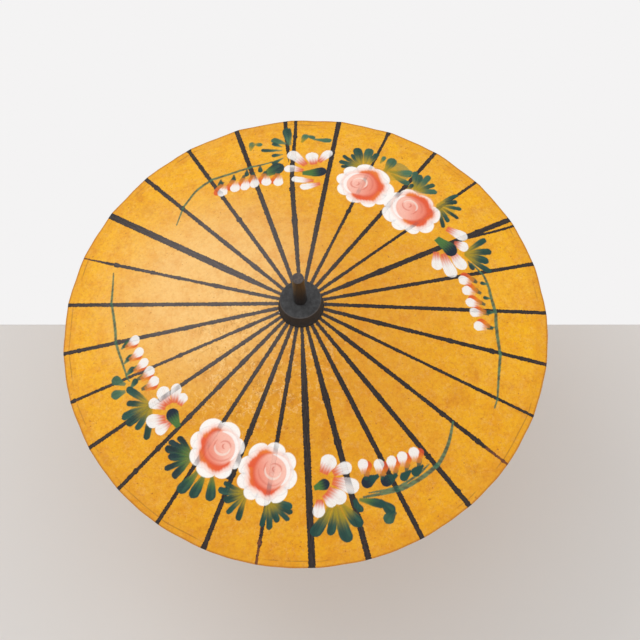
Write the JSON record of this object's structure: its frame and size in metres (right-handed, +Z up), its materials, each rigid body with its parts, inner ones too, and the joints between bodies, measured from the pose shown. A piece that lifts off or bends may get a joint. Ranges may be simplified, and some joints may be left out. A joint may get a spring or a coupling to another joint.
{
  "type": "oil paper umbrella",
  "caption": "Open oil paper umbrella: painted paper cone on split bamboo ribs hinged to a top hub, stretchers joined to a sliding runner, and a turned wooden pole with a plain grip.",
  "frame": {"origin": "centre of the bottom end of the handle, on the pole's axis", "axes": "+Z up the pole from the handle to the tip; a rib lies over -Y and the catch slot in the pole faces -Y"},
  "size_m": [0.6, 0.6, 0.5],
  "materials": {
    "pole_wood": "dark stained and lacquered turned wood",
    "hub_lacquer": "matt charcoal lacquer on turned wood, worn paler on the face",
    "runner_wood": "dark stained turned wood",
    "oiled_paper": "tung-oiled mulberry paper, golden ochre, hand-painted flowers and black rib lines",
    "rib_bamboo": "split bamboo, waxed",
    "stretcher_bamboo": "split bamboo, waxed"
  },
  "bodies": {
    "root": {"pole": "pole_wood", "top_hub": "hub_lacquer", "canopy": "oiled_paper"},
    "rib_01": {"rib_01": "rib_bamboo"},
    "rib_02": {"rib_02": "rib_bamboo"},
    "rib_03": {"rib_03": "rib_bamboo"},
    "rib_04": {"rib_04": "rib_bamboo"},
    "rib_05": {"rib_05": "rib_bamboo"},
    "rib_06": {"rib_06": "rib_bamboo"},
    "rib_07": {"rib_07": "rib_bamboo"},
    "rib_08": {"rib_08": "rib_bamboo"},
    "rib_09": {"rib_09": "rib_bamboo"},
    "rib_10": {"rib_10": "rib_bamboo"},
    "rib_11": {"rib_11": "rib_bamboo"},
    "rib_12": {"rib_12": "rib_bamboo"},
    "rib_13": {"rib_13": "rib_bamboo"},
    "rib_14": {"rib_14": "rib_bamboo"},
    "rib_15": {"rib_15": "rib_bamboo"},
    "rib_16": {"rib_16": "rib_bamboo"},
    "rib_17": {"rib_17": "rib_bamboo"},
    "rib_18": {"rib_18": "rib_bamboo"},
    "rib_19": {"rib_19": "rib_bamboo"},
    "rib_20": {"rib_20": "rib_bamboo"},
    "rib_21": {"rib_21": "rib_bamboo"},
    "rib_22": {"rib_22": "rib_bamboo"},
    "rib_23": {"rib_23": "rib_bamboo"},
    "rib_24": {"rib_24": "rib_bamboo"},
    "rib_25": {"rib_25": "rib_bamboo"},
    "rib_26": {"rib_26": "rib_bamboo"},
    "rib_27": {"rib_27": "rib_bamboo"},
    "rib_28": {"rib_28": "rib_bamboo"},
    "stretcher_01": {"stretcher_01": "stretcher_bamboo"},
    "stretcher_02": {"stretcher_02": "stretcher_bamboo"},
    "stretcher_03": {"stretcher_03": "stretcher_bamboo"},
    "stretcher_04": {"stretcher_04": "stretcher_bamboo"},
    "stretcher_05": {"stretcher_05": "stretcher_bamboo"},
    "stretcher_06": {"stretcher_06": "stretcher_bamboo"},
    "stretcher_07": {"stretcher_07": "stretcher_bamboo"},
    "stretcher_08": {"stretcher_08": "stretcher_bamboo"},
    "stretcher_09": {"stretcher_09": "stretcher_bamboo"},
    "stretcher_10": {"stretcher_10": "stretcher_bamboo"},
    "stretcher_11": {"stretcher_11": "stretcher_bamboo"},
    "stretcher_12": {"stretcher_12": "stretcher_bamboo"},
    "stretcher_13": {"stretcher_13": "stretcher_bamboo"},
    "stretcher_14": {"stretcher_14": "stretcher_bamboo"},
    "stretcher_15": {"stretcher_15": "stretcher_bamboo"},
    "stretcher_16": {"stretcher_16": "stretcher_bamboo"},
    "stretcher_17": {"stretcher_17": "stretcher_bamboo"},
    "stretcher_18": {"stretcher_18": "stretcher_bamboo"},
    "stretcher_19": {"stretcher_19": "stretcher_bamboo"},
    "stretcher_20": {"stretcher_20": "stretcher_bamboo"},
    "stretcher_21": {"stretcher_21": "stretcher_bamboo"},
    "stretcher_22": {"stretcher_22": "stretcher_bamboo"},
    "stretcher_23": {"stretcher_23": "stretcher_bamboo"},
    "stretcher_24": {"stretcher_24": "stretcher_bamboo"},
    "stretcher_25": {"stretcher_25": "stretcher_bamboo"},
    "stretcher_26": {"stretcher_26": "stretcher_bamboo"},
    "stretcher_27": {"stretcher_27": "stretcher_bamboo"},
    "stretcher_28": {"stretcher_28": "stretcher_bamboo"},
    "runner": {"runner": "runner_wood"}
  },
  "joints": [
    {"name": "canopy_fold", "type": "hinge", "parent": "root", "child": "rib_01", "pos_m": [0, -0.02, 0.41], "axis": [1, 0, 0], "range_deg": [0, 70], "deforming": ["canopy"]},
    {"name": "rib_02_fold", "type": "hinge", "parent": "root", "child": "rib_02", "pos_m": [0.00445, -0.0195, 0.41], "axis": [0.9749, 0.2225, 0], "range_deg": [0, 70]},
    {"name": "rib_03_fold", "type": "hinge", "parent": "root", "child": "rib_03", "pos_m": [0.00868, -0.01802, 0.41], "axis": [0.901, 0.4339, 0], "range_deg": [0, 70]},
    {"name": "rib_04_fold", "type": "hinge", "parent": "root", "child": "rib_04", "pos_m": [0.01247, -0.01564, 0.41], "axis": [0.7818, 0.6235, 0], "range_deg": [0, 70]},
    {"name": "rib_05_fold", "type": "hinge", "parent": "root", "child": "rib_05", "pos_m": [0.01564, -0.01247, 0.41], "axis": [0.6235, 0.7818, 0], "range_deg": [0, 70]},
    {"name": "rib_06_fold", "type": "hinge", "parent": "root", "child": "rib_06", "pos_m": [0.01802, -0.00868, 0.41], "axis": [0.4339, 0.901, 0], "range_deg": [0, 70]},
    {"name": "rib_07_fold", "type": "hinge", "parent": "root", "child": "rib_07", "pos_m": [0.0195, -0.00445, 0.41], "axis": [0.2225, 0.9749, 0], "range_deg": [0, 70]},
    {"name": "rib_08_fold", "type": "hinge", "parent": "root", "child": "rib_08", "pos_m": [0.02, 0, 0.41], "axis": [0, 1, 0], "range_deg": [0, 70]},
    {"name": "rib_09_fold", "type": "hinge", "parent": "root", "child": "rib_09", "pos_m": [0.0195, 0.00445, 0.41], "axis": [-0.2225, 0.9749, 0], "range_deg": [0, 70]},
    {"name": "rib_10_fold", "type": "hinge", "parent": "root", "child": "rib_10", "pos_m": [0.01802, 0.00868, 0.41], "axis": [-0.4339, 0.901, 0], "range_deg": [0, 70]},
    {"name": "rib_11_fold", "type": "hinge", "parent": "root", "child": "rib_11", "pos_m": [0.01564, 0.01247, 0.41], "axis": [-0.6235, 0.7818, 0], "range_deg": [0, 70]},
    {"name": "rib_12_fold", "type": "hinge", "parent": "root", "child": "rib_12", "pos_m": [0.01247, 0.01564, 0.41], "axis": [-0.7818, 0.6235, 0], "range_deg": [0, 70]},
    {"name": "rib_13_fold", "type": "hinge", "parent": "root", "child": "rib_13", "pos_m": [0.00868, 0.01802, 0.41], "axis": [-0.901, 0.4339, 0], "range_deg": [0, 70]},
    {"name": "rib_14_fold", "type": "hinge", "parent": "root", "child": "rib_14", "pos_m": [0.00445, 0.0195, 0.41], "axis": [-0.9749, 0.2225, 0], "range_deg": [0, 70]},
    {"name": "rib_15_fold", "type": "hinge", "parent": "root", "child": "rib_15", "pos_m": [0, 0.02, 0.41], "axis": [-1, 0, 0], "range_deg": [0, 70]},
    {"name": "rib_16_fold", "type": "hinge", "parent": "root", "child": "rib_16", "pos_m": [-0.00445, 0.0195, 0.41], "axis": [-0.9749, -0.2225, 0], "range_deg": [0, 70]},
    {"name": "rib_17_fold", "type": "hinge", "parent": "root", "child": "rib_17", "pos_m": [-0.00868, 0.01802, 0.41], "axis": [-0.901, -0.4339, 0], "range_deg": [0, 70]},
    {"name": "rib_18_fold", "type": "hinge", "parent": "root", "child": "rib_18", "pos_m": [-0.01247, 0.01564, 0.41], "axis": [-0.7818, -0.6235, 0], "range_deg": [0, 70]},
    {"name": "rib_19_fold", "type": "hinge", "parent": "root", "child": "rib_19", "pos_m": [-0.01564, 0.01247, 0.41], "axis": [-0.6235, -0.7818, 0], "range_deg": [0, 70]},
    {"name": "rib_20_fold", "type": "hinge", "parent": "root", "child": "rib_20", "pos_m": [-0.01802, 0.00868, 0.41], "axis": [-0.4339, -0.901, 0], "range_deg": [0, 70]},
    {"name": "rib_21_fold", "type": "hinge", "parent": "root", "child": "rib_21", "pos_m": [-0.0195, 0.00445, 0.41], "axis": [-0.2225, -0.9749, 0], "range_deg": [0, 70]},
    {"name": "rib_22_fold", "type": "hinge", "parent": "root", "child": "rib_22", "pos_m": [-0.02, 0, 0.41], "axis": [0, -1, 0], "range_deg": [0, 70]},
    {"name": "rib_23_fold", "type": "hinge", "parent": "root", "child": "rib_23", "pos_m": [-0.0195, -0.00445, 0.41], "axis": [0.2225, -0.9749, 0], "range_deg": [0, 70]},
    {"name": "rib_24_fold", "type": "hinge", "parent": "root", "child": "rib_24", "pos_m": [-0.01802, -0.00868, 0.41], "axis": [0.4339, -0.901, 0], "range_deg": [0, 70]},
    {"name": "rib_25_fold", "type": "hinge", "parent": "root", "child": "rib_25", "pos_m": [-0.01564, -0.01247, 0.41], "axis": [0.6235, -0.7818, 0], "range_deg": [0, 70]},
    {"name": "rib_26_fold", "type": "hinge", "parent": "root", "child": "rib_26", "pos_m": [-0.01247, -0.01564, 0.41], "axis": [0.7818, -0.6235, 0], "range_deg": [0, 70]},
    {"name": "rib_27_fold", "type": "hinge", "parent": "root", "child": "rib_27", "pos_m": [-0.00868, -0.01802, 0.41], "axis": [0.901, -0.4339, 0], "range_deg": [0, 70]},
    {"name": "rib_28_fold", "type": "hinge", "parent": "root", "child": "rib_28", "pos_m": [-0.00445, -0.0195, 0.41], "axis": [0.9749, -0.2225, 0], "range_deg": [0, 70]},
    {"name": "stretcher_01_pivot", "type": "hinge", "parent": "rib_01", "child": "stretcher_01", "pos_m": [0, -0.14839, 0.36828], "axis": [-1, 0, 0], "range_deg": [0, 140]},
    {"name": "stretcher_02_pivot", "type": "hinge", "parent": "rib_02", "child": "stretcher_02", "pos_m": [0.03302, -0.14467, 0.36828], "axis": [-0.9749, -0.2225, 0], "range_deg": [0, 140]},
    {"name": "stretcher_03_pivot", "type": "hinge", "parent": "rib_03", "child": "stretcher_03", "pos_m": [0.06438, -0.1337, 0.36828], "axis": [-0.901, -0.4339, 0], "range_deg": [0, 140]},
    {"name": "stretcher_04_pivot", "type": "hinge", "parent": "rib_04", "child": "stretcher_04", "pos_m": [0.09252, -0.11602, 0.36828], "axis": [-0.7818, -0.6235, 0], "range_deg": [0, 140]},
    {"name": "stretcher_05_pivot", "type": "hinge", "parent": "rib_05", "child": "stretcher_05", "pos_m": [0.11602, -0.09252, 0.36828], "axis": [-0.6235, -0.7818, 0], "range_deg": [0, 140]},
    {"name": "stretcher_06_pivot", "type": "hinge", "parent": "rib_06", "child": "stretcher_06", "pos_m": [0.1337, -0.06438, 0.36828], "axis": [-0.4339, -0.901, 0], "range_deg": [0, 140]},
    {"name": "stretcher_07_pivot", "type": "hinge", "parent": "rib_07", "child": "stretcher_07", "pos_m": [0.14467, -0.03302, 0.36828], "axis": [-0.2225, -0.9749, 0], "range_deg": [0, 140]},
    {"name": "stretcher_08_pivot", "type": "hinge", "parent": "rib_08", "child": "stretcher_08", "pos_m": [0.14839, 0, 0.36828], "axis": [0, -1, 0], "range_deg": [0, 140]},
    {"name": "stretcher_09_pivot", "type": "hinge", "parent": "rib_09", "child": "stretcher_09", "pos_m": [0.14467, 0.03302, 0.36828], "axis": [0.2225, -0.9749, 0], "range_deg": [0, 140]},
    {"name": "stretcher_10_pivot", "type": "hinge", "parent": "rib_10", "child": "stretcher_10", "pos_m": [0.1337, 0.06438, 0.36828], "axis": [0.4339, -0.901, 0], "range_deg": [0, 140]},
    {"name": "stretcher_11_pivot", "type": "hinge", "parent": "rib_11", "child": "stretcher_11", "pos_m": [0.11602, 0.09252, 0.36828], "axis": [0.6235, -0.7818, 0], "range_deg": [0, 140]},
    {"name": "stretcher_12_pivot", "type": "hinge", "parent": "rib_12", "child": "stretcher_12", "pos_m": [0.09252, 0.11602, 0.36828], "axis": [0.7818, -0.6235, 0], "range_deg": [0, 140]},
    {"name": "stretcher_13_pivot", "type": "hinge", "parent": "rib_13", "child": "stretcher_13", "pos_m": [0.06438, 0.1337, 0.36828], "axis": [0.901, -0.4339, 0], "range_deg": [0, 140]},
    {"name": "stretcher_14_pivot", "type": "hinge", "parent": "rib_14", "child": "stretcher_14", "pos_m": [0.03302, 0.14467, 0.36828], "axis": [0.9749, -0.2225, 0], "range_deg": [0, 140]},
    {"name": "stretcher_15_pivot", "type": "hinge", "parent": "rib_15", "child": "stretcher_15", "pos_m": [0, 0.14839, 0.36828], "axis": [1, 0, 0], "range_deg": [0, 140]},
    {"name": "stretcher_16_pivot", "type": "hinge", "parent": "rib_16", "child": "stretcher_16", "pos_m": [-0.03302, 0.14467, 0.36828], "axis": [0.9749, 0.2225, 0], "range_deg": [0, 140]},
    {"name": "stretcher_17_pivot", "type": "hinge", "parent": "rib_17", "child": "stretcher_17", "pos_m": [-0.06438, 0.1337, 0.36828], "axis": [0.901, 0.4339, 0], "range_deg": [0, 140]},
    {"name": "stretcher_18_pivot", "type": "hinge", "parent": "rib_18", "child": "stretcher_18", "pos_m": [-0.09252, 0.11602, 0.36828], "axis": [0.7818, 0.6235, 0], "range_deg": [0, 140]},
    {"name": "stretcher_19_pivot", "type": "hinge", "parent": "rib_19", "child": "stretcher_19", "pos_m": [-0.11602, 0.09252, 0.36828], "axis": [0.6235, 0.7818, 0], "range_deg": [0, 140]},
    {"name": "stretcher_20_pivot", "type": "hinge", "parent": "rib_20", "child": "stretcher_20", "pos_m": [-0.1337, 0.06438, 0.36828], "axis": [0.4339, 0.901, 0], "range_deg": [0, 140]},
    {"name": "stretcher_21_pivot", "type": "hinge", "parent": "rib_21", "child": "stretcher_21", "pos_m": [-0.14467, 0.03302, 0.36828], "axis": [0.2225, 0.9749, 0], "range_deg": [0, 140]},
    {"name": "stretcher_22_pivot", "type": "hinge", "parent": "rib_22", "child": "stretcher_22", "pos_m": [-0.14839, 0, 0.36828], "axis": [0, 1, 0], "range_deg": [0, 140]},
    {"name": "stretcher_23_pivot", "type": "hinge", "parent": "rib_23", "child": "stretcher_23", "pos_m": [-0.14467, -0.03302, 0.36828], "axis": [-0.2225, 0.9749, 0], "range_deg": [0, 140]},
    {"name": "stretcher_24_pivot", "type": "hinge", "parent": "rib_24", "child": "stretcher_24", "pos_m": [-0.1337, -0.06438, 0.36828], "axis": [-0.4339, 0.901, 0], "range_deg": [0, 140]},
    {"name": "stretcher_25_pivot", "type": "hinge", "parent": "rib_25", "child": "stretcher_25", "pos_m": [-0.11602, -0.09252, 0.36828], "axis": [-0.6235, 0.7818, 0], "range_deg": [0, 140]},
    {"name": "stretcher_26_pivot", "type": "hinge", "parent": "rib_26", "child": "stretcher_26", "pos_m": [-0.09252, -0.11602, 0.36828], "axis": [-0.7818, 0.6235, 0], "range_deg": [0, 140]},
    {"name": "stretcher_27_pivot", "type": "hinge", "parent": "rib_27", "child": "stretcher_27", "pos_m": [-0.06438, -0.1337, 0.36828], "axis": [-0.901, 0.4339, 0], "range_deg": [0, 140]},
    {"name": "stretcher_28_pivot", "type": "hinge", "parent": "rib_28", "child": "stretcher_28", "pos_m": [-0.03302, -0.14467, 0.36828], "axis": [-0.9749, 0.2225, 0], "range_deg": [0, 140]},
    {"name": "runner_travel", "type": "hinge", "parent": "stretcher_01", "child": "runner", "pos_m": [0, -0.02, 0.32656], "axis": [1, 0, 0], "range_deg": [0, 70]}
  ],
  "couplings": [
    {"joint": "rib_02_fold", "follows": "canopy_fold", "ratio": 1},
    {"joint": "rib_03_fold", "follows": "canopy_fold", "ratio": 1},
    {"joint": "rib_04_fold", "follows": "canopy_fold", "ratio": 1},
    {"joint": "rib_05_fold", "follows": "canopy_fold", "ratio": 1},
    {"joint": "rib_06_fold", "follows": "canopy_fold", "ratio": 1},
    {"joint": "rib_07_fold", "follows": "canopy_fold", "ratio": 1},
    {"joint": "rib_08_fold", "follows": "canopy_fold", "ratio": 1},
    {"joint": "rib_09_fold", "follows": "canopy_fold", "ratio": 1},
    {"joint": "rib_10_fold", "follows": "canopy_fold", "ratio": 1},
    {"joint": "rib_11_fold", "follows": "canopy_fold", "ratio": 1},
    {"joint": "rib_12_fold", "follows": "canopy_fold", "ratio": 1},
    {"joint": "rib_13_fold", "follows": "canopy_fold", "ratio": 1},
    {"joint": "rib_14_fold", "follows": "canopy_fold", "ratio": 1},
    {"joint": "rib_15_fold", "follows": "canopy_fold", "ratio": 1},
    {"joint": "rib_16_fold", "follows": "canopy_fold", "ratio": 1},
    {"joint": "rib_17_fold", "follows": "canopy_fold", "ratio": 1},
    {"joint": "rib_18_fold", "follows": "canopy_fold", "ratio": 1},
    {"joint": "rib_19_fold", "follows": "canopy_fold", "ratio": 1},
    {"joint": "rib_20_fold", "follows": "canopy_fold", "ratio": 1},
    {"joint": "rib_21_fold", "follows": "canopy_fold", "ratio": 1},
    {"joint": "rib_22_fold", "follows": "canopy_fold", "ratio": 1},
    {"joint": "rib_23_fold", "follows": "canopy_fold", "ratio": 1},
    {"joint": "rib_24_fold", "follows": "canopy_fold", "ratio": 1},
    {"joint": "rib_25_fold", "follows": "canopy_fold", "ratio": 1},
    {"joint": "rib_26_fold", "follows": "canopy_fold", "ratio": 1},
    {"joint": "rib_27_fold", "follows": "canopy_fold", "ratio": 1},
    {"joint": "rib_28_fold", "follows": "canopy_fold", "ratio": 1},
    {"joint": "stretcher_01_pivot", "follows": "canopy_fold", "ratio": 2},
    {"joint": "stretcher_02_pivot", "follows": "canopy_fold", "ratio": 2},
    {"joint": "stretcher_03_pivot", "follows": "canopy_fold", "ratio": 2},
    {"joint": "stretcher_04_pivot", "follows": "canopy_fold", "ratio": 2},
    {"joint": "stretcher_05_pivot", "follows": "canopy_fold", "ratio": 2},
    {"joint": "stretcher_06_pivot", "follows": "canopy_fold", "ratio": 2},
    {"joint": "stretcher_07_pivot", "follows": "canopy_fold", "ratio": 2},
    {"joint": "stretcher_08_pivot", "follows": "canopy_fold", "ratio": 2},
    {"joint": "stretcher_09_pivot", "follows": "canopy_fold", "ratio": 2},
    {"joint": "stretcher_10_pivot", "follows": "canopy_fold", "ratio": 2},
    {"joint": "stretcher_11_pivot", "follows": "canopy_fold", "ratio": 2},
    {"joint": "stretcher_12_pivot", "follows": "canopy_fold", "ratio": 2},
    {"joint": "stretcher_13_pivot", "follows": "canopy_fold", "ratio": 2},
    {"joint": "stretcher_14_pivot", "follows": "canopy_fold", "ratio": 2},
    {"joint": "stretcher_15_pivot", "follows": "canopy_fold", "ratio": 2},
    {"joint": "stretcher_16_pivot", "follows": "canopy_fold", "ratio": 2},
    {"joint": "stretcher_17_pivot", "follows": "canopy_fold", "ratio": 2},
    {"joint": "stretcher_18_pivot", "follows": "canopy_fold", "ratio": 2},
    {"joint": "stretcher_19_pivot", "follows": "canopy_fold", "ratio": 2},
    {"joint": "stretcher_20_pivot", "follows": "canopy_fold", "ratio": 2},
    {"joint": "stretcher_21_pivot", "follows": "canopy_fold", "ratio": 2},
    {"joint": "stretcher_22_pivot", "follows": "canopy_fold", "ratio": 2},
    {"joint": "stretcher_23_pivot", "follows": "canopy_fold", "ratio": 2},
    {"joint": "stretcher_24_pivot", "follows": "canopy_fold", "ratio": 2},
    {"joint": "stretcher_25_pivot", "follows": "canopy_fold", "ratio": 2},
    {"joint": "stretcher_26_pivot", "follows": "canopy_fold", "ratio": 2},
    {"joint": "stretcher_27_pivot", "follows": "canopy_fold", "ratio": 2},
    {"joint": "stretcher_28_pivot", "follows": "canopy_fold", "ratio": 2},
    {"joint": "runner_travel", "follows": "canopy_fold", "ratio": 1}
  ]
}
